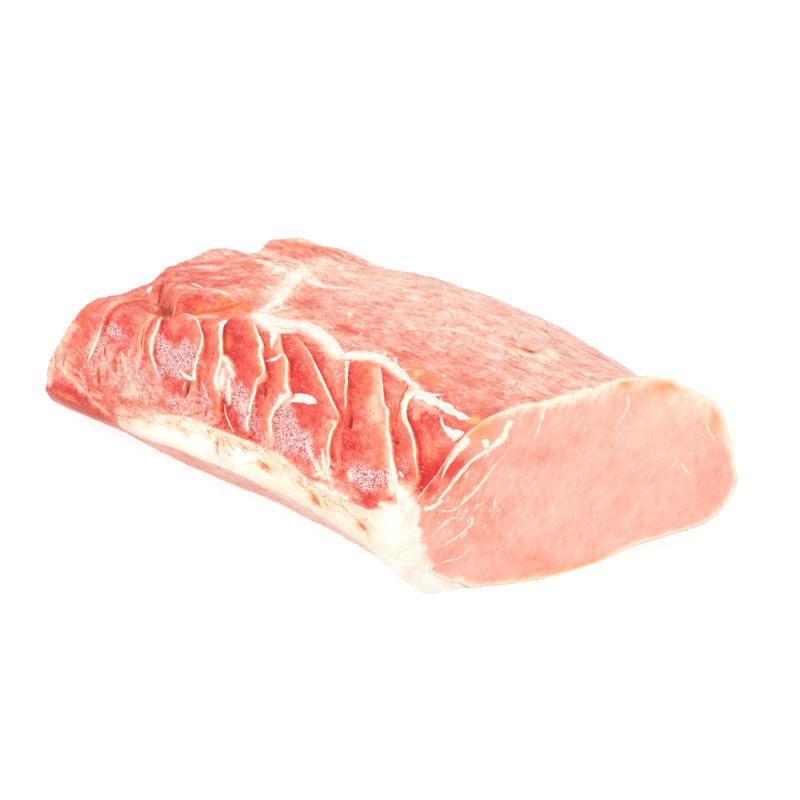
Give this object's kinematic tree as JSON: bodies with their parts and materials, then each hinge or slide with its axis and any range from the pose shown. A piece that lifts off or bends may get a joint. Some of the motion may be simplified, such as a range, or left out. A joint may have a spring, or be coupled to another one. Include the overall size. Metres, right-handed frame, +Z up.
{
  "type": "boneless pork loin piece",
  "caption": "Raw boneless pork loin piece, cut across at both ends, with slanting rib marks along one side and a strip of back fat along its lower edge.",
  "frame": {"origin": "middle of the footprint, on the surface that the piece lies on", "axes": "+X along the loin towards the near cut, -Y towards the side with the rib marks, +Z up"},
  "size_m": [0.3038, 0.1608, 0.0764],
  "materials": {
    "lean": "moist raw lean pork, salmon pink, with a grain along the loin and pale seams",
    "fat": "firm raw back fat, cream white, slightly waxy"
  },
  "bodies": {
    "root": {"lean_loin": "lean", "fat_strip": "fat"}
  },
  "joints": []
}
